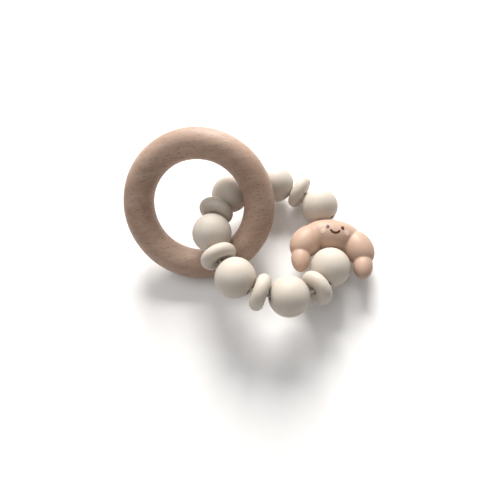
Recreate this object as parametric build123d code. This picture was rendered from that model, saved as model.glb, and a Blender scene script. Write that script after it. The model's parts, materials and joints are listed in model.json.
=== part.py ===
"""Baby rattle: a turned beech ring linked through a closed loop of silicone beads strung on a cord.

Millimetres, +Z up. The origin is the middle of the footprint, at the height of the table. The rattle
lies at rest: the ring stands on its near edge and leans across the strand of beads that runs through it.
Headings are angles in the table plane, counted from +X towards +Y. All angles are in degrees.
"""
import os
from math import cos, hypot, pi, radians, sin, sqrt, tan

from build123d import *

# ---- Grip ring: one full-round wooden torus ----
RING_OUTER_D = 59.2         # across the outside
RING_TUBE_D = 11.9          # thickness of the round section
RING_TILT = 37.5            # slope of the ring's plane as it leans
RING_RISE_HEADING = 76.7    # where the raised side of the ring points
RING_PULL_HEADING = 128.0   # the way the ring hangs out from the strand inside it
RING_BEAD_GAP = 0.5         # air between the ring and the bead it comes nearest to

# ---- Beads: bodies of revolution about the cord ----
ROUND_D = 15.0              # round bead, across the cord
ROUND_L = 14.2              # round bead, between its two flats
LENTIL_D = 13.8             # lentil bead, across the cord
LENTIL_L = 5.2              # lentil bead, thickness of its full-round rim
LENTIL_DISH = 0.75          # how deep the round beads press into each of its faces
BORE_D = 3.0                # hole that the cord runs through, in every bead
BORE_LIP_R = 0.3            # rounding of the hole's mouths
ROUND_GAP = 0.5             # length of cord that a round bead has beyond its own length
LENTIL_GAP = 1.45           # the same for a lentil, whose neighbours lean in over its rim
CROISSANT_GAP = 2.6         # the same for the croissant
NEST_GAP = 1.6              # what the lentil beside the nested bead has on top, at the sharpest bend
ROUND_OUT = 0.4             # play in the bores lets a round bead ride out from the loop's middle
LENTIL_IN = 0.4             # and a lentil ride in
PAIR_COUNT = 3              # round and lentil pairs on each side of the croissant

# ---- Croissant bead: five swollen segments on an arch, pierced through the middle one ----
MIDDLE_D = 12.7             # thickness of the middle segment, which is its length along the cord
MIDDLE_W = 23.0             # middle segment, along the arch
SHOULDER_D = 11.4
SHOULDER_W = 15.6
SHOULDER_OUT = 10.2          # centre of a shoulder segment, out from the bore
SHOULDER_BACK = 4.4         # and back along the bore from the middle of the bead
SHOULDER_SLOPE = 60.0       # how far the arch has turned down at the shoulder
TIP_D = 7.4
TIP_W = 11.4
TIP_OUT = 11.9
TIP_BACK = 12.0
TIP_SLOPE = 92.0
CROISSANT_SINK = 0.43        # how much nearer it sits to the nested bead than to the next one
CROISSANT_ROLL = -4.0       # turn about the cord that faces the smile up from the table
CROISSANT_LEAN = 3.0        # turn in the loop's plane that centres the arch over the nested bead
NEST_INSET = 2.8            # how far the nested bead draws the strand towards the loop's middle

# ---- Smiling face: coloured silicone set flush into the middle segment ----
INLAY_DEPTH = 1.6           # thickness of the inlays at the crown of the segment
EYE_W = 1.3
EYE_H = 1.65
EYE_SPREAD = 5.7            # between the two eyes
EYE_UP = -0.1                # above the middle of the segment, towards the arch's back
SMILE_R = 2.0               # radius of the mouth's curve
SMILE_SWEEP = 112.0
SMILE_STROKE = 0.72
SMILE_UP = -0.4              # centre of the mouth's curve
CHEEK_D = 2.0
CHEEK_SPREAD = 9.1
CHEEK_UP = -1.85

# ---- Cord: one endless loop, closed by a knot hidden inside a round bead ----
CORD_D = 1.2
CORD_CLEARANCE = 0.05       # least air between the cord and a bore's wall
CORD_RUN_SHARE = 0.45       # part of a straight run that one bend may use
KNOT_D = 3.4
KNOT_WRAPS = 3
KNOT_WRAP_PITCH = 0.8       # spacing of the knot's turns, in thicknesses of a turn
KNOT_GAP = 0.15             # air left around the knot in its pocket
KNOT_BEAD = 6               # number of the round bead that hides the knot

# ---- Loop of beads: a flat oval that slopes down to the table ----
LOOP_ASPECT = 1.08          # long axis over short axis
LOOP_START = 140.9          # angle on the oval of the first bead's leading face
LOOP_TILT = 15.3
LOOP_FALL_HEADING = 23.4    # where the low side of the loop points
LOOP_SHORT_HEADING = 13.4   # heading of the oval's short axis

HALF_TURN = 180.0
BISECTIONS = 60             # halvings when a length is searched for
PULL_STEP = 0.05            # step when the ring is pulled out to its stop

STRAND = ["round", "lentil"] * PAIR_COUNT + ["round", "croissant"] + ["round", "lentil"] * PAIR_COUNT
CROISSANT_INDEX = STRAND.index("croissant")
NEST_LENTIL_INDEX = CROISSANT_INDEX - 2
LENGTH = {"round": ROUND_L, "lentil": LENTIL_L, "croissant": MIDDLE_D}
GAP = {"round": ROUND_GAP, "lentil": LENTIL_GAP, "croissant": CROISSANT_GAP}
PLAY = {"round": ROUND_OUT, "lentil": -LENTIL_IN, "croissant": 0.0}
RADIUS = {"round": ROUND_D / 2, "lentil": LENTIL_D / 2, "croissant": MIDDLE_D / 2}

RUNS = [LENGTH[kind] + GAP[kind] for kind in STRAND]
RUNS[NEST_LENTIL_INDEX] += NEST_GAP

ring_r = (RING_OUTER_D - RING_TUBE_D) / 2


def heading(angle):
    """Level unit vector at a heading."""
    return Vector(cos(radians(angle)), sin(radians(angle)), 0)


# ---- Where the beads meet: points stepped round the oval, one bead and one gap apart ----
def oval_point(angle, size, inset):
    """Point of the flat oval, drawn towards its middle by the inset."""
    x = size * cos(angle)
    y = size * LOOP_ASPECT * sin(angle)
    share = 1 - inset / hypot(x, y)
    return Vector(x * share, y * share, 0)


def step_on(angle, size, start, length, inset):
    """Angle of the first point beyond start that stands the given length away from it."""
    low = angle
    high = angle + pi / 2
    for _ in range(BISECTIONS):
        middle = (low + high) / 2
        if (oval_point(middle, size, inset) - start).length < length:
            low = middle
        else:
            high = middle
    return (low + high) / 2


def walk_round(size):
    """Meeting points of the beads on an oval of this size, and the angle where the walk ends."""
    angle = radians(LOOP_START)
    points = [oval_point(angle, size, 0)]
    for index, run in enumerate(RUNS):
        inset = NEST_INSET if index + 1 == CROISSANT_INDEX else 0
        angle = step_on(angle, size, points[-1], run, inset)
        points.append(oval_point(angle, size, inset))
    return points[:-1], angle


def closed_walk():
    """Meeting points on the one size of oval whose last bead meets the first."""
    around = sum(RUNS)
    small = around / (3 * pi)
    large = around / pi
    for _ in range(BISECTIONS):
        size = (small + large) / 2
        end = walk_round(size)[1]
        if end > radians(LOOP_START) + 2 * pi:
            small = size
        else:
            large = size
    return walk_round(size)[0]


# ---- Bead shapes, each about its own cord line, +Z ----
def pierced(bead):
    """Bead with the cord's hole through it and the hole's two mouths rounded."""
    whole = bead.edges()
    bead -= Cylinder(BORE_D / 2, 2 * ROUND_L)
    mouths = [edge for edge in bead.edges() if edge.is_closed and edge not in whole]
    return fillet(mouths, BORE_LIP_R)


def round_bead():
    ball = Sphere(ROUND_D / 2) & Box(ROUND_D, ROUND_D, ROUND_L)
    return pierced(ball)


def knot_bead():
    """Round bead whose hole is opened up from one end into a pocket for the knot."""
    pocket_r = KNOT_D / 2 + ROUND_OUT + KNOT_GAP
    depth = ROUND_L / 2 + knot_length() / 2 + KNOT_GAP
    pocket = Pos(0, 0, ROUND_L / 2 - depth / 2) * Cylinder(pocket_r, depth)
    return round_bead() - pocket


def lentil_bead():
    """Full-round rim whose arc runs smoothly into a shallow dish on each face."""
    rim_r = LENTIL_L / 2
    rim_x = LENTIL_D / 2 - rim_r
    waist = rim_r - LENTIL_DISH
    dish_r = (rim_x ** 2 + waist ** 2 - rim_r ** 2) / (2 * LENTIL_DISH)
    dish_mid = Vector(0, 0, waist + dish_r)
    join = Vector(rim_x, 0, 0) + (dish_mid - Vector(rim_x, 0, 0)).normalized() * rim_r
    middle = Vector(0, 0, waist)
    on_dish = dish_mid + (join + middle - dish_mid * 2).normalized() * dish_r
    low_join = Vector(join.X, 0, -join.Z)
    upper = ThreePointArc(middle, on_dish, join)
    rim = ThreePointArc(join, Vector(LENTIL_D / 2, 0, 0), low_join)
    lower = ThreePointArc(low_join, Vector(on_dish.X, 0, -on_dish.Z), -middle)
    outline = Wire([upper, rim, lower, Line(-middle, middle)])
    return pierced(revolve(Face(outline), Axis.Z))


def segment(width, thickness):
    """Swollen segment: an ellipse turned about its long axis, +Y."""
    bulge = EllipticalCenterArc((0, 0), thickness / 2, width / 2, start_angle=-90, arc_size=HALF_TURN)
    outline = Wire([bulge, Line((0, width / 2), (0, -width / 2))])
    return revolve(Face(outline), Axis.Y)


def side_segment(side, width, thickness, out, back, slope):
    """Segment on one arm of the arch, side +1 or -1. The arch lies in the YZ plane, its back towards +Z."""
    return Pos(0, side * out, -back) * Rot(-side * slope, 0, 0) * segment(width, thickness)


def croissant_blank():
    blank = segment(MIDDLE_W, MIDDLE_D)
    for side in (1, -1):
        blank += side_segment(side, SHOULDER_W, SHOULDER_D, SHOULDER_OUT, SHOULDER_BACK, SHOULDER_SLOPE)
        blank += side_segment(side, TIP_W, TIP_D, TIP_OUT, TIP_BACK, TIP_SLOPE)
    return blank


def on_face(outline):
    """Flat outline on the face, pushed out through the front of the croissant. Its X runs across, its Y up."""
    front = Plane(origin=(MIDDLE_D / 2 - INLAY_DEPTH, 0, 0), x_dir=(0, 1, 0), z_dir=(1, 0, 0))
    return extrude(front * outline, MIDDLE_D)


def face_cutters():
    """The five coloured areas of the face by name, as prisms that stand out through the surface."""
    cutters = {}
    for name, side in (("left", -1), ("right", 1)):
        eye = Pos(side * EYE_SPREAD / 2, EYE_UP) * Ellipse(EYE_W / 2, EYE_H / 2)
        cheek = Pos(side * CHEEK_SPREAD / 2, CHEEK_UP) * Circle(CHEEK_D / 2)
        cutters["eye_" + name] = on_face(eye)
        cutters["cheek_" + name] = on_face(cheek)
    curve = CenterArc((0, SMILE_UP), SMILE_R, -90 - SMILE_SWEEP / 2, SMILE_SWEEP)
    cutters["smile"] = on_face(SlotArc(curve, SMILE_STROKE))
    return cutters


# ---- Placing ----
def loop_plane(lift):
    """Plane of the loop, its middle this high above the table."""
    normal = heading(LOOP_FALL_HEADING) * sin(radians(LOOP_TILT)) + Vector(0, 0, cos(radians(LOOP_TILT)))
    return Plane(origin=(0, 0, lift), x_dir=heading(LOOP_SHORT_HEADING), z_dir=normal)


def run_planes(corners, plane):
    """Plane of each bead's stretch of cord: +Z along the cord, +X out of the loop's upper face, +Y outwards."""
    ends = corners[1:] + corners[:1]
    return [Plane(origin=(a + b) / 2, x_dir=plane.z_dir, z_dir=b - a) for a, b in zip(corners, ends)]


def bead_planes(runs):
    """Plane of each bead: ridden out or in by its play, a lentil square to its neighbours' middles."""
    middles = [run.origin + run.y_dir * PLAY[kind] for kind, run in zip(STRAND, runs)]
    planes = []
    for index, (kind, run) in enumerate(zip(STRAND, runs)):
        axis = run.z_dir
        if kind == "lentil":
            axis = middles[(index + 1) % len(middles)] - middles[index - 1]
        if kind == "croissant":
            axis = axis.rotate(Axis((0, 0, 0), run.x_dir), -CROISSANT_LEAN)
        sink = CROISSANT_SINK if kind == "croissant" else 0
        planes.append(Plane(origin=middles[index] - run.z_dir * sink, x_dir=run.x_dir, z_dir=axis))
    return planes


def strand_shapes():
    """Every bead with its number, in stringing order: (node name, kind, solid about +Z)."""
    counts = {"round": 0, "lentil": 0}
    shapes = []
    for kind in STRAND:
        if kind == "croissant":
            shapes.append(("croissant_bead", kind, None))
            continue
        counts[kind] += 1
        number = counts[kind]
        if kind == "lentil":
            solid = lentil_bead()
        elif number == KNOT_BEAD:
            solid = knot_bead()
        else:
            solid = round_bead()
        shapes.append((f"{kind}_bead_{number}", kind, solid))
    return shapes


def croissant_pieces():
    """Croissant bead and its inlays by name, the cord along +Z and the face towards +X."""
    blank = croissant_blank()
    bead = pierced(blank)
    pieces = {}
    for name, cutter in face_cutters().items():
        pieces[name] = blank & cutter
        bead -= cutter
    pieces["croissant_bead"] = bead
    return {name: Rot(0, 0, CROISSANT_ROLL) * piece for name, piece in pieces.items()}


# ---- Cord and knot ----
def bend_radius(before, corner, after):
    """Largest arc that the runs beside a corner and the bores around it leave room for."""
    run_in = corner - before
    run_out = after - corner
    half_turn = radians(run_in.get_angle(run_out)) / 2
    by_run = CORD_RUN_SHARE * min(run_in.length, run_out.length) / tan(half_turn)
    room = (BORE_D - CORD_D) / 2 - CORD_CLEARANCE - max(ROUND_OUT, LENTIL_IN)
    by_bore = room / (1 / cos(half_turn) - 1)
    return min(by_run, by_bore)


def cord_path(corners):
    count = len(corners)
    radii = [bend_radius(corners[i - 1], corners[i], corners[(i + 1) % count]) for i in range(count)]
    print("cord bend radii", [round(r, 1) for r in radii])
    return FilletPolyline(*corners, radius=radii, close=True)


def cord_solid(corners):
    path = cord_path(corners)
    start = path.edges()[0]
    section = Plane(origin=start @ 0, z_dir=start % 0) * Circle(CORD_D / 2)
    tube = sweep(section, path=path)
    share = tube.volume / (path.length * pi * CORD_D ** 2 / 4)
    print("cord length", round(path.length, 1), "volume over section times length", round(share, 4))
    return tube


def wrap_d():
    return (KNOT_D - CORD_D) / 2


def knot_length():
    return wrap_d() * (KNOT_WRAP_PITCH * (KNOT_WRAPS - 1) + 1)


def knot_solid():
    """Turns of the cord's own end pulled tight round the cord."""
    pitch = KNOT_WRAP_PITCH * wrap_d()
    knot = None
    for turn in range(KNOT_WRAPS):
        height = (turn - (KNOT_WRAPS - 1) / 2) * pitch
        wrap = Pos(0, 0, height) * Torus((CORD_D + wrap_d()) / 2, wrap_d() / 2 - CORD_CLEARANCE / 2)
        knot = wrap if knot is None else knot + wrap
    return knot


# ---- Ring ----
def ring_axis():
    level = heading(RING_RISE_HEADING)
    return level * -sin(radians(RING_TILT)) + Vector(0, 0, cos(radians(RING_TILT)))


def reach(kind, axis, direction):
    """How far a bead stands out from its middle in one direction."""
    along = abs(axis.dot(direction))
    across = sqrt(max(0.0, 1 - along ** 2))
    return hypot(RADIUS[kind] * across, LENGTH[kind] / 2 * along)


def ring_gap(centre, planes):
    """Air between the ring, with its middle here, and the nearest bead."""
    axis = ring_axis()
    gaps = []
    for kind, plane in zip(STRAND, planes):
        offset = plane.origin - centre
        in_plane = offset - axis * axis.dot(offset)
        nearest = centre + in_plane.normalized() * ring_r
        away = nearest - plane.origin
        gaps.append(away.length - RING_TUBE_D / 2 - reach(kind, plane.z_dir, away.normalized()))
    return min(gaps)


def ring_centre(crossing, planes):
    """Middle of the ring: on the table, and pulled out from the strand until a bead stops it."""
    height = ring_r * sin(radians(RING_TILT)) + RING_TUBE_D / 2
    level = Vector(crossing.X, crossing.Y, height)
    way = heading(RING_PULL_HEADING)
    pulls = [PULL_STEP * n for n in range(int(ring_r / PULL_STEP))]
    free = [pull for pull in pulls if ring_gap(level + way * pull, planes) >= RING_BEAD_GAP]
    return level + way * max(free)


# ---- Assembly ----
flat_corners = closed_walk()
shapes = strand_shapes()
croissant = croissant_pieces()


def placed_strand(lift):
    """Corners, bead planes and solids of the whole loop with its middle this high."""
    plane = loop_plane(lift)
    corners = [plane.from_local_coords(corner) for corner in flat_corners]
    runs = run_planes(corners, plane)
    planes = bead_planes(runs)
    nodes = {}
    for (name, kind, solid), at in zip(shapes, planes):
        if kind == "croissant":
            nodes.update({part: at.location * piece for part, piece in croissant.items()})
        else:
            nodes[name] = at.location * solid
    return corners, runs, planes, nodes


lowest = min(solid.bounding_box().min.Z for solid in placed_strand(0)[3].values())
corners, runs, planes, nodes = placed_strand(-lowest)
crossing = corners[0]
centre = ring_centre(crossing, planes)
names = [name for name, kind, solid in shapes]
knot_plane = runs[names.index(f"round_bead_{KNOT_BEAD}")]

nodes["wood_ring"] = Plane(origin=centre, z_dir=ring_axis()).location * Torus(ring_r, RING_TUBE_D / 2)
nodes["cord"] = cord_solid(corners)
nodes["cord_knot"] = knot_plane.location * knot_solid()

boxes = [solid.bounding_box() for solid in nodes.values()]
middle_x = (min(box.min.X for box in boxes) + max(box.max.X for box in boxes)) / 2
middle_y = (min(box.min.Y for box in boxes) + max(box.max.Y for box in boxes)) / 2
home = Vector(-middle_x, -middle_y, 0)

os.makedirs("parts", exist_ok=True)
for name, solid in nodes.items():
    export_step(Pos(home) * solid, f"parts/{name}.step")
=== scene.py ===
# %% [markdown]
# # Baby rattle: a beech ring linked through a loop of silicone beads
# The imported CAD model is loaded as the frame. Each visible piece is then shaped and finished on top of it,
# in metres and in the same coordinates, and rides on the body that it belongs to.

# %% Frame and imports
import json
import math

import bmesh
import bpy
import numpy as np
from mathutils import Matrix, Vector


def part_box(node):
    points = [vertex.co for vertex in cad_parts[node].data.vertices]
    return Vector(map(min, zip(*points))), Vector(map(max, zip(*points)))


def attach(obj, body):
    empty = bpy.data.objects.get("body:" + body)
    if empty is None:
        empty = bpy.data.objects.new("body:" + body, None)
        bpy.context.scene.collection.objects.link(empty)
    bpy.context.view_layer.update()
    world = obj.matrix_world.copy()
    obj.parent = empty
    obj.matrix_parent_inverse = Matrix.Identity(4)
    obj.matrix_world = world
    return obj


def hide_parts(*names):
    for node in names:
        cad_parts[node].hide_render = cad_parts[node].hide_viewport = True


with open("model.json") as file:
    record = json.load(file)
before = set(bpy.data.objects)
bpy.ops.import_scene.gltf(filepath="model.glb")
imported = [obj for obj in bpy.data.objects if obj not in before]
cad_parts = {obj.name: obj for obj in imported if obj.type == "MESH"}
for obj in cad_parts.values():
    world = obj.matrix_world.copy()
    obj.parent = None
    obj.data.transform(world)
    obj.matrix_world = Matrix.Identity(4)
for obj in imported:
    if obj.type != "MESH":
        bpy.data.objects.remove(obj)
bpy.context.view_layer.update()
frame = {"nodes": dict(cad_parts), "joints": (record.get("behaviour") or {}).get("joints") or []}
MM = 0.001
joints = {joint["child"]: joint for joint in frame["joints"]}

# %% [markdown]
# ## Mesh helpers
# Beads and ring are turned or moulded bodies of revolution. One lathe function makes the beads, and the ring is
# swept by its own loop. The lathe takes a closed outline of radius and height and turns it about an axis, which
# keeps the surface smooth and even.


# %% Mesh helpers
def mesh_object(name, verts, faces):
    mesh = bpy.data.meshes.new(name)
    mesh.from_pydata(verts, [], faces)
    mesh.validate()
    mesh.polygons.foreach_set("use_smooth", [True] * len(mesh.polygons))
    obj = bpy.data.objects.new(name, mesh)
    bpy.context.scene.collection.objects.link(obj)
    return obj


def axes_matrix(origin, z_dir, y_hint):
    """Local-to-world matrix with +Z along z_dir and +Y as near as it can be to y_hint."""
    z = Vector(z_dir).normalized()
    y = Vector(y_hint)
    y = (y - z * y.dot(z)).normalized()
    x = y.cross(z)
    matrix = Matrix((x, y, z)).transposed().to_4x4()
    matrix.translation = Vector(origin)
    return matrix


def lathe(name, outline, steps, matrix):
    """Closed outline of (radius, height) turned about local Z, placed by the matrix."""
    count = len(outline)
    verts = []
    for step in range(steps):
        turn = 2 * math.pi * step / steps
        for radius, height in outline:
            local = Vector((radius * math.cos(turn), radius * math.sin(turn), height))
            verts.append(matrix @ local)
    faces = []
    for step in range(steps):
        ahead = (step + 1) % steps
        for i in range(count):
            j = (i + 1) % count
            faces.append((step * count + i, ahead * count + i, ahead * count + j, step * count + j))
    return mesh_object(name, verts, faces)


def arc(centre, radius, start, end, count):
    """Points on an arc in the (radius, height) plane, angles in degrees."""
    angles = [math.radians(start + (end - start) * i / (count - 1)) for i in range(count)]
    return [(centre[0] + radius * math.cos(a), centre[1] + radius * math.sin(a)) for a in angles]


# %% [markdown]
# ## Shader groups
# Four effects are shared by the finishes: the wood's colour bands, its short dark ray flecks, the faint mottle
# and tooth of matt silicone, and the settled lint that every soft toy picks up. Each one is a node group with
# named inputs and outputs, so a finish only has to wire it to colour, roughness or bump.


# %% Shader group tools
def new_group(name, inputs, outputs):
    group = bpy.data.node_groups.new(name, "ShaderNodeTree")
    for label, kind, default in inputs:
        socket = group.interface.new_socket(label, in_out="INPUT", socket_type=kind)
        if default is not None:
            socket.default_value = default
    for label, kind in outputs:
        group.interface.new_socket(label, in_out="OUTPUT", socket_type=kind)
    return group, group.nodes.new("NodeGroupInput"), group.nodes.new("NodeGroupOutput")


def math_node(tree, operation, a, b=None, clamp=False):
    node = tree.nodes.new("ShaderNodeMath")
    node.operation = operation
    node.use_clamp = clamp
    for index, value in enumerate((a, b)):
        if value is None:
            continue
        if isinstance(value, (int, float)):
            node.inputs[index].default_value = value
        else:
            tree.links.new(value, node.inputs[index])
    return node.outputs[0]


def noise_node(tree, vector, scale, detail=3.0, roughness=0.55):
    node = tree.nodes.new("ShaderNodeTexNoise")
    tree.links.new(vector, node.inputs["Vector"])
    if isinstance(scale, (int, float)):
        node.inputs["Scale"].default_value = scale
    else:
        tree.links.new(scale, node.inputs["Scale"])
    node.inputs["Detail"].default_value = detail
    node.inputs["Roughness"].default_value = roughness
    return node.outputs["Fac"]


def stretch_node(tree, vector, scale, turn=(0, 0, 0)):
    node = tree.nodes.new("ShaderNodeMapping")
    tree.links.new(vector, node.inputs["Vector"])
    node.inputs["Rotation"].default_value = turn
    node.inputs["Scale"].default_value = scale
    return node.outputs["Vector"]


def range_node(tree, value, low, high, out_low=0.0, out_high=1.0):
    node = tree.nodes.new("ShaderNodeMapRange")
    node.clamp = True
    tree.links.new(value, node.inputs["Value"])
    limits = {"From Min": low, "From Max": high, "To Min": out_low, "To Max": out_high}
    for label, setting in limits.items():
        node.inputs[label].default_value = setting
    return node.outputs["Result"]


# Places of the colour sockets on a Mix node, which share their names with the number sockets.
MIX_A, MIX_B, MIX_RESULT = 6, 7, 2


def mix_node(tree, share, a, b):
    """Colour b over colour a, by the share that a socket gives."""
    node = tree.nodes.new("ShaderNodeMix")
    node.data_type = "RGBA"
    tree.links.new(share, node.inputs[0])
    for index, value in ((MIX_A, a), (MIX_B, b)):
        if isinstance(value, tuple):
            node.inputs[index].default_value = value
        else:
            tree.links.new(value, node.inputs[index])
    return node.outputs[MIX_RESULT]


# %% [markdown]
# ### Wood bands and ray flecks
# Beech shows slow changes of tone from year to year and, on its face, thousands of short dark rays a few
# millimetres long. Both run with the grain. The ring is cut from a flat board, so one straight grain direction
# goes through the whole ring: along the sides the rays look long, and where the ring turns across the grain
# they shrink to dots. A solid texture in one direction gives that by itself.

# %% Wood groups
GRAIN_TURN = (0.0, 0.0, math.radians(24.0))

bands, g_in, g_out = new_group(
    "Wood Bands",
    [("Vector", "NodeSocketVector", None), ("Scale", "NodeSocketFloat", 90.0)],
    [("Band", "NodeSocketFloat"), ("Drift", "NodeSocketFloat")],
)
along = stretch_node(bands, g_in.outputs["Vector"], (0.12, 1.0, 1.0), GRAIN_TURN)
wide = noise_node(bands, along, g_in.outputs["Scale"], 4.0, 0.5)
fine = noise_node(bands, stretch_node(bands, along, (1.0, 6.0, 6.0)), g_in.outputs["Scale"], 5.0, 0.6)
WIDE_SHARE, FINE_SHARE = 0.62, 0.38
both = math_node(
    bands, "ADD", math_node(bands, "MULTIPLY", wide, WIDE_SHARE), math_node(bands, "MULTIPLY", fine, FINE_SHARE)
)
bands.links.new(range_node(bands, both, 0.36, 0.64), g_out.inputs["Band"])
bands.links.new(noise_node(bands, g_in.outputs["Vector"], 45.0, 2.0), g_out.inputs["Drift"])

flecks, g_in, g_out = new_group(
    "Ray Flecks",
    [("Vector", "NodeSocketVector", None), ("Amount", "NodeSocketFloat", 1.0)],
    [("Fleck", "NodeSocketFloat")],
)
run = stretch_node(flecks, g_in.outputs["Vector"], (420.0, 3000.0, 2300.0), GRAIN_TURN)
cell = flecks.nodes.new("ShaderNodeTexVoronoi")
cell.inputs["Scale"].default_value = 1.0
cell.inputs["Randomness"].default_value = 1.0
flecks.links.new(run, cell.inputs["Vector"])
core = range_node(flecks, cell.outputs["Distance"], 0.2, 0.46, 1.0, 0.0)
chosen = flecks.nodes.new("ShaderNodeSeparateColor")
flecks.links.new(cell.outputs["Color"], chosen.inputs["Color"])
keep = range_node(flecks, chosen.outputs[0], 0.45, 0.95)
chosen_core = math_node(flecks, "MULTIPLY", core, keep)
mark = math_node(flecks, "MULTIPLY", chosen_core, g_in.outputs["Amount"], True)
flecks.links.new(mark, g_out.inputs["Fleck"])

# %% [markdown]
# ### Silicone tooth and lint
# Matt food-grade silicone comes out of a blasted mould, so its skin has a fine tooth that spreads the
# highlight. Its grip also catches lint and dust, which shows as a few paler specks.

# %% Silicone groups
tooth, g_in, g_out = new_group(
    "Silicone Tooth",
    [("Vector", "NodeSocketVector", None)],
    [("Height", "NodeSocketFloat"), ("Mottle", "NodeSocketFloat")],
)
grit = noise_node(tooth, g_in.outputs["Vector"], 5200.0, 3.0, 0.6)
dimple = noise_node(tooth, g_in.outputs["Vector"], 900.0, 2.0, 0.5)
GRIT_SHARE, DIMPLE_SHARE = 0.7, 0.3
height = math_node(
    tooth, "ADD", math_node(tooth, "MULTIPLY", grit, GRIT_SHARE), math_node(tooth, "MULTIPLY", dimple, DIMPLE_SHARE)
)
tooth.links.new(height, g_out.inputs["Height"])
tooth.links.new(noise_node(tooth, g_in.outputs["Vector"], 140.0, 3.0, 0.5), g_out.inputs["Mottle"])

lint, g_in, g_out = new_group(
    "Settled Lint",
    [("Vector", "NodeSocketVector", None), ("Amount", "NodeSocketFloat", 0.3)],
    [("Speck", "NodeSocketFloat")],
)
spot = lint.nodes.new("ShaderNodeTexVoronoi")
spot.inputs["Scale"].default_value = 420.0
lint.links.new(g_in.outputs["Vector"], spot.inputs["Vector"])
dot = range_node(lint, spot.outputs["Distance"], 0.03, 0.07, 1.0, 0.0)
where = range_node(lint, noise_node(lint, g_in.outputs["Vector"], 160.0, 2.0), 0.52, 0.62)
speck = math_node(lint, "MULTIPLY", math_node(lint, "MULTIPLY", dot, where), g_in.outputs["Amount"], True)
lint.links.new(speck, g_out.inputs["Speck"])


# %% [markdown]
# ## Finishes
# Oiled beech is warm brown and nearly matt. The beads are cream silicone, which lets a little light in below
# the skin and so has soft, warm shadows. The croissant is peach-tan silicone and its face is dark brown.


# %% Finish tools
def new_finish(name):
    material = bpy.data.materials.new(name)
    material.use_nodes = True
    tree = material.node_tree
    shader = tree.nodes["Principled BSDF"]
    coords = tree.nodes.new("ShaderNodeTexCoord")
    return material, tree, shader, coords.outputs["Object"]


def group_node(tree, group, vector, **settings):
    node = tree.nodes.new("ShaderNodeGroup")
    node.node_tree = group
    tree.links.new(vector, node.inputs["Vector"])
    for label, value in settings.items():
        node.inputs[label].default_value = value
    return node


def bump_node(tree, shader, height, strength, distance):
    bump = tree.nodes.new("ShaderNodeBump")
    bump.inputs["Strength"].default_value = strength
    bump.inputs["Distance"].default_value = distance
    tree.links.new(height, bump.inputs["Height"])
    tree.links.new(bump.outputs["Normal"], shader.inputs["Normal"])


ROUGHNESS_DRIFT = 0.05


def silicone(name, light, dark, roughness, glow, speck_color=(0.9, 0.88, 0.84, 1), specks=0.35):
    """Matt silicone between a light and a dark tone, with light let in below the skin."""
    material, tree, shader, vector = new_finish(name)
    skin = group_node(tree, tooth, vector)
    dust = group_node(tree, lint, vector, Amount=specks)
    mottle = range_node(tree, skin.outputs["Mottle"], 0.35, 0.65)
    base = mix_node(tree, mottle, light, dark)
    tree.links.new(mix_node(tree, dust.outputs["Speck"], base, speck_color), shader.inputs["Base Color"])
    smooth, coarse = roughness - ROUGHNESS_DRIFT, roughness + ROUGHNESS_DRIFT
    rough = range_node(tree, skin.outputs["Mottle"], 0.3, 0.7, smooth, coarse)
    tree.links.new(rough, shader.inputs["Roughness"])
    shader.inputs["Specular IOR Level"].default_value = 0.38
    shader.inputs["Subsurface Weight"].default_value = glow
    shader.inputs["Subsurface Radius"].default_value = (1.0, 0.55, 0.35)
    shader.inputs["Subsurface Scale"].default_value = 0.0014
    bump_node(tree, shader, skin.outputs["Height"], 0.22, 0.00004)
    return material


# %% Wood finish
WOOD_LIGHT = (0.45, 0.315, 0.24, 1)
WOOD_DARK = (0.31, 0.20, 0.145, 1)
WOOD_RAY = (0.13, 0.065, 0.04, 1)

wood, tree, shader, vector = new_finish("ring_wood_finish")
band = group_node(tree, bands, vector)
ray = group_node(tree, flecks, vector, Amount=0.75)
tone = mix_node(tree, band.outputs["Band"], WOOD_LIGHT, WOOD_DARK)
tree.links.new(mix_node(tree, ray.outputs["Fleck"], tone, WOOD_RAY), shader.inputs["Base Color"])
tree.links.new(range_node(tree, band.outputs["Drift"], 0.3, 0.7, 0.46, 0.6), shader.inputs["Roughness"])
shader.inputs["Specular IOR Level"].default_value = 0.4
pores = math_node(tree, "SUBTRACT", math_node(tree, "MULTIPLY", band.outputs["Band"], 0.3), ray.outputs["Fleck"])
bump_node(tree, shader, pores, 0.35, 0.00005)

# %% [markdown]
# ### The four silicones
# All four come from one recipe. They differ in tone, in how matt they are and in how much light goes in below
# the skin, which is least in the dark brown.

# %% Silicone finishes
cream = silicone("bead_silicone_finish", (0.58, 0.52, 0.455, 1), (0.54, 0.48, 0.41, 1), 0.55, 0.12)
peach = silicone("croissant_silicone_finish", (0.50, 0.345, 0.26, 1), (0.455, 0.305, 0.225, 1), 0.52, 0.1)
brown = silicone("face_brown_finish", (0.07, 0.024, 0.014, 1), (0.045, 0.016, 0.01, 1), 0.45, 0.02, specks=0.05)
blush = silicone("cheek_peach_finish", (0.62, 0.47, 0.39, 1), (0.58, 0.43, 0.35, 1), 0.5, 0.1, specks=0.1)

# %% [markdown]
# ### Cord
# The cord is a cream round braid. Only a thread's width of it shows between the beads, so its braid is a fine
# crossing wave in the bump.

# %% Cord finish
cord_finish, tree, shader, vector = new_finish("cord_thread_finish")
braid = group_node(tree, tooth, vector)
weave = tree.nodes.new("ShaderNodeTexWave")
weave.inputs["Scale"].default_value = 900.0
weave.inputs["Distortion"].default_value = 2.5
tree.links.new(vector, weave.inputs["Vector"])
CORD_LIGHT, CORD_DARK = (0.8, 0.75, 0.66, 1), (0.6, 0.54, 0.45, 1)
tree.links.new(mix_node(tree, weave.outputs["Fac"], CORD_LIGHT, CORD_DARK), shader.inputs["Base Color"])
tree.links.new(range_node(tree, braid.outputs["Mottle"], 0.3, 0.7, 0.75, 0.95), shader.inputs["Roughness"])
bump_node(tree, shader, weave.outputs["Fac"], 0.5, 0.00008)


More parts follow.
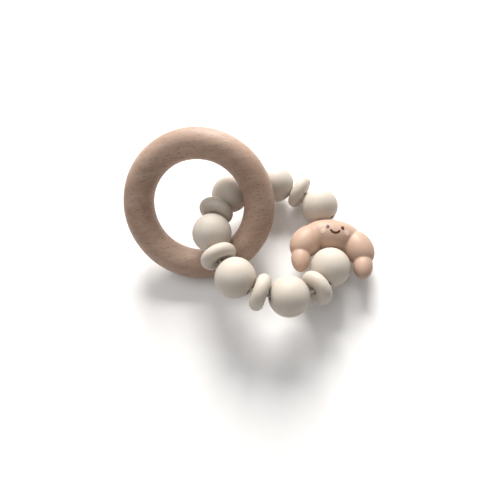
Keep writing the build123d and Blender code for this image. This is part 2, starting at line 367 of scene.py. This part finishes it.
# %% [markdown]
# ## Ring
# The ring is turned on a lathe and sanded by hand, so its round section is true to a few hundredths of a
# millimetre but not perfect. The centre, the slope and both radii are read from the CAD ring.


# %% Ring
def cad_points(node):
    mesh = frame["nodes"][node].data
    points = np.zeros(len(mesh.vertices) * 3)
    mesh.vertices.foreach_get("co", points)
    return points.reshape(-1, 3)


def build_ring():
    points = cad_points("wood_ring")
    low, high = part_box("wood_ring")
    centre = (Vector(low) + Vector(high)) / 2
    offset = points - np.array(centre)
    normal = Vector(np.linalg.svd(offset, full_matrices=False)[2][2])
    heights = offset @ np.array(normal)
    tube = (heights.max() - heights.min()) / 2
    outer = np.sqrt((offset ** 2).sum(axis=1)).max()
    around = outer - tube
    matrix = axes_matrix(centre, normal, (1, 0, 0))
    steps, section = 288, 96
    verts, faces = [], []
    for i in range(steps):
        turn = 2 * math.pi * i / steps
        wobble = 1 + 0.004 * math.sin(3 * turn + 0.7) + 0.003 * math.sin(7 * turn)
        for j in range(section):
            roll = 2 * math.pi * j / section
            r = tube * (0.993 * wobble)
            out = around + r * math.cos(roll)
            verts.append(matrix @ Vector((out * math.cos(turn), out * math.sin(turn), r * math.sin(roll))))
    for i in range(steps):
        for j in range(section):
            a, b = (i + 1) % steps, (j + 1) % section
            faces.append((i * section + j, a * section + j, a * section + b, i * section + b))
    ring = mesh_object("grip_ring", verts, faces)
    ring.data.materials.append(wood)
    print("ring radius", round(around / MM, 2), "section", round(2 * tube / MM, 2))
    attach(ring, "ring")
    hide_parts("wood_ring")


build_ring()

# %% [markdown]
# ## Beads
# A round bead is a moulded ball with two small flats where the cord comes out, and a hair-thin seam round its
# middle where the mould's halves met. A lentil bead is a full-round rim with a shallow dish in each face, so
# that its round neighbours nest against it. Both are turned about the cord's direction in their joint.

# %% Bead outlines
ROUND_R, ROUND_HALF = 7.5, 7.1
LENTIL_R, LENTIL_HALF, LENTIL_DISH = 6.9, 2.6, 0.75
BORE_R, LIP_R = 1.5, 0.3
SEAM_HEIGHT, SEAM_HALF = 0.012, 0.09


def round_outline():
    edge = math.degrees(math.asin(ROUND_HALF / ROUND_R))
    ball = []
    for r, z in arc((0, 0), ROUND_R, -edge + 1.5, edge - 1.5, 90):
        ridge = SEAM_HEIGHT * math.exp(-(z / SEAM_HALF) ** 2)
        ball.append((r * (1 + ridge / ROUND_R) - SEAM_HEIGHT, z))
    mouth = arc((BORE_R + LIP_R, ROUND_HALF - LIP_R), LIP_R, 90, 180, 7)
    low_mouth = [(r, -z) for r, z in reversed(mouth)]
    outline = ball + mouth + low_mouth
    return [(r * MM, z * MM) for r, z in outline]


def lentil_outline():
    rim_x = LENTIL_R - LENTIL_HALF
    waist = LENTIL_HALF - LENTIL_DISH
    dish_r = (rim_x ** 2 + waist ** 2 - LENTIL_HALF ** 2) / (2 * LENTIL_DISH)
    join = math.degrees(math.atan2(waist + dish_r, -rim_x))
    rim = arc((rim_x, 0), LENTIL_HALF, -join, join, 60)
    mid = waist + dish_r
    start = math.degrees(math.atan2(rim[-1][1] - mid, rim[-1][0]))
    dish = [p for p in arc((0, mid), dish_r, start, -90, 24)[1:] if p[0] > BORE_R + LIP_R]
    face = mid - math.sqrt(dish_r ** 2 - (BORE_R + LIP_R) ** 2)
    mouth = arc((BORE_R + LIP_R, face - LIP_R), LIP_R, 90, 180, 7)
    upper = dish + mouth
    lower = [(r, -z) for r, z in reversed(upper)]
    return [(r * MM, z * MM) for r, z in rim + upper + lower]


# %% Beads
def build_beads():
    outlines = {"round": round_outline(), "lentil": lentil_outline()}
    count = 0
    for node in sorted(frame["nodes"]):
        kind = node.split("_")[0]
        if kind not in outlines:
            continue
        joint = joints[node]
        matrix = axes_matrix(joint["pos_m"], joint["axis"], (0, 0, 1))
        bead = lathe(node + "_skin", outlines[kind], 128, matrix)
        bead.data.materials.append(cream)
        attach(bead, node)
        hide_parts(node)
        count += 1
    print("beads", count)


build_beads()

# %% [markdown]
# ## Croissant bead
# The croissant is one moulding: five swollen segments on an arch, with soft creases where they meet. Each
# segment is drawn as a long rounded body, the five are merged on a fine grid, and the creases are then eased
# as a mould maker would break them. The hole for the cord goes through the middle segment.

# %% Croissant
# Thickness, width, distance out from the bore, distance back along it, and slope, in mm and degrees.
SEGMENTS = (
    (12.7, 23.0, 0.0, 0.0, 0.0),
    (11.4, 15.6, 10.2, 4.4, 60.0),
    (7.4, 11.4, 11.9, 12.0, 92.0),
)
DRILL_HALF = 9
GRID = 0.24 * MM
EASE_STEPS = 7
INLAY_STAND = 0.07 * MM


def centre_of(node):
    return Vector(cad_points(node).mean(axis=0))


croissant_joint = joints["croissant"]
croissant_frame = axes_matrix(
    croissant_joint["pos_m"], croissant_joint["axis"], centre_of("cheek_right") - centre_of("cheek_left")
)


def segment_body(kit, width, thickness, matrix):
    """Rounded body of this width along local Y and this thickness, added to the bmesh."""
    made = bmesh.ops.create_uvsphere(kit, u_segments=72, v_segments=48, radius=0.5)
    scale = Matrix.Diagonal((thickness * MM, width * MM, thickness * MM, 1))
    bmesh.ops.transform(kit, matrix=matrix @ scale, verts=made["verts"])


def settled(obj):
    """The object's mesh with its modifiers worked in."""
    graph = bpy.context.evaluated_depsgraph_get()
    mesh = bpy.data.meshes.new_from_object(obj.evaluated_get(graph))
    obj.modifiers.clear()
    obj.data = mesh
    mesh.polygons.foreach_set("use_smooth", [True] * len(mesh.polygons))


def build_croissant():
    kit = bmesh.new()
    for thickness, width, out, back, slope in SEGMENTS:
        for side in (1, -1):
            if out == 0 and side < 0:
                continue
            place = Matrix.Translation((0, side * out * MM, -back * MM))
            turn = Matrix.Rotation(math.radians(-side * slope), 4, "X")
            segment_body(kit, width, thickness, place @ turn)
    mesh = bpy.data.meshes.new("croissant_skin")
    kit.to_mesh(mesh)
    kit.free()
    obj = bpy.data.objects.new("croissant_skin", mesh)
    bpy.context.scene.collection.objects.link(obj)
    merge = obj.modifiers.new("merge", "REMESH")
    merge.mode = "VOXEL"
    merge.voxel_size = GRID
    ease = obj.modifiers.new("ease", "SMOOTH")
    ease.factor = 0.5
    ease.iterations = EASE_STEPS
    sink = obj.modifiers.new("sink", "DISPLACE")
    sink.strength = -INLAY_STAND
    sink.mid_level = 0.0
    settled(obj)
    bore, reach = BORE_R * MM, DRILL_HALF * MM
    drill = lathe("drill", [(bore, -reach), (bore, reach), (0, reach), (0, -reach)], 48, Matrix())
    cut = obj.modifiers.new("bore", "BOOLEAN")
    cut.operation = "DIFFERENCE"
    cut.object = drill
    settled(obj)
    bpy.data.objects.remove(drill)
    obj.data.transform(croissant_frame)
    obj.data.materials.clear()
    obj.data.materials.append(peach)
    print("croissant faces", len(obj.data.polygons))
    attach(obj, "croissant")
    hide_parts("croissant_bead")


build_croissant()

# %% [markdown]
# ## Face
# The eyes, the smile and the cheeks are coloured silicone set flush into the middle segment. The CAD pieces
# have the right outlines already, so they stay and take their finish here. The croissant's skin was set back
# by a few hundredths of a millimetre above, so each inlay stands a hair proud, as a poured inlay does.

# %% Face finishes
FINISHES = {
    "eye_left": brown,
    "eye_right": brown,
    "smile": brown,
    "cheek_left": blush,
    "cheek_right": blush,
    "cord": cord_finish,
    "cord_knot": cord_finish,
}
for node, material in FINISHES.items():
    obj = frame["nodes"][node]
    for material_slot in obj.material_slots:
        material_slot.material = material
    obj.data.polygons.foreach_set("use_smooth", [True] * len(obj.data.polygons))
print("finished", len(FINISHES), "CAD pieces")

# %% [markdown]
# ## Table and light
# The rattle lies on a plain pale surface, under one broad soft light from behind it and a wide, weak fill, so
# that its front edges fall into a warm shade.

# %% Table
FLOOR_SIDE = 3.0
FLOOR_HEIGHT = -0.1 * MM
FLOOR_LIGHT, FLOOR_DARK = (0.93, 0.925, 0.92, 1), (0.9, 0.895, 0.89, 1)
corners = [(x * FLOOR_SIDE, y * FLOOR_SIDE, FLOOR_HEIGHT) for x, y in ((-1, -1), (1, -1), (1, 1), (-1, 1))]
floor = mesh_object("table_top", corners, [(0, 1, 2, 3)])
paper, tree, shader, vector = new_finish("pale_paper")
speckle = noise_node(tree, vector, 300.0, 2.0)
tree.links.new(mix_node(tree, speckle, FLOOR_LIGHT, FLOOR_DARK), shader.inputs["Base Color"])
shader.inputs["Roughness"].default_value = 0.9
floor.data.materials.append(paper)


# %% Lights
def soft_light(name, place, target, side, power, color):
    light = bpy.data.lights.new(name, "AREA")
    light.shape = "SQUARE"
    light.size = side
    light.energy = power
    light.color = color
    obj = bpy.data.objects.new(name, light)
    bpy.context.scene.collection.objects.link(obj)
    obj.location = place
    obj.rotation_euler = (Vector(target) - Vector(place)).to_track_quat("-Z", "Y").to_euler()


soft_light("window", (0.12, 0.50, 0.36), (0, 0, 0.01), 0.30, 7.4, (1.0, 0.985, 0.965))
soft_light("fill", (-0.25, 0.1, 0.6), (0, 0, 0.01), 0.6, 1.4, (1.0, 0.98, 0.97))

world = bpy.data.worlds.new("room")
bpy.context.scene.world = world
world.use_nodes = True
world.node_tree.nodes["Background"].inputs["Color"].default_value = (1.0, 0.99, 0.98, 1)
world.node_tree.nodes["Background"].inputs["Strength"].default_value = 0.30

# %% [markdown]
# ## Camera
# The camera looks down steeply on the rattle from the near side and is turned a little.

# %% Camera
CAMERA_AT = Vector((-0.00111, -0.06835, 0.1613))
CAMERA_RIGHT = Vector((0.9687, -0.2298, -0.0942))
CAMERA_AHEAD = Vector((0.0, 0.3793, -0.9253))
lens = bpy.data.cameras.new("camera")
lens.lens = 29.8
lens.sensor_width = 36.0
lens.clip_start = 0.005
camera = bpy.data.objects.new("camera", lens)
bpy.context.scene.collection.objects.link(camera)
turn = Matrix((CAMERA_RIGHT, CAMERA_RIGHT.cross(CAMERA_AHEAD), -CAMERA_AHEAD)).transposed()
camera.matrix_world = Matrix.Translation(CAMERA_AT) @ turn.to_4x4()
bpy.context.scene.camera = camera
bpy.context.scene.view_settings.view_transform = "Standard"
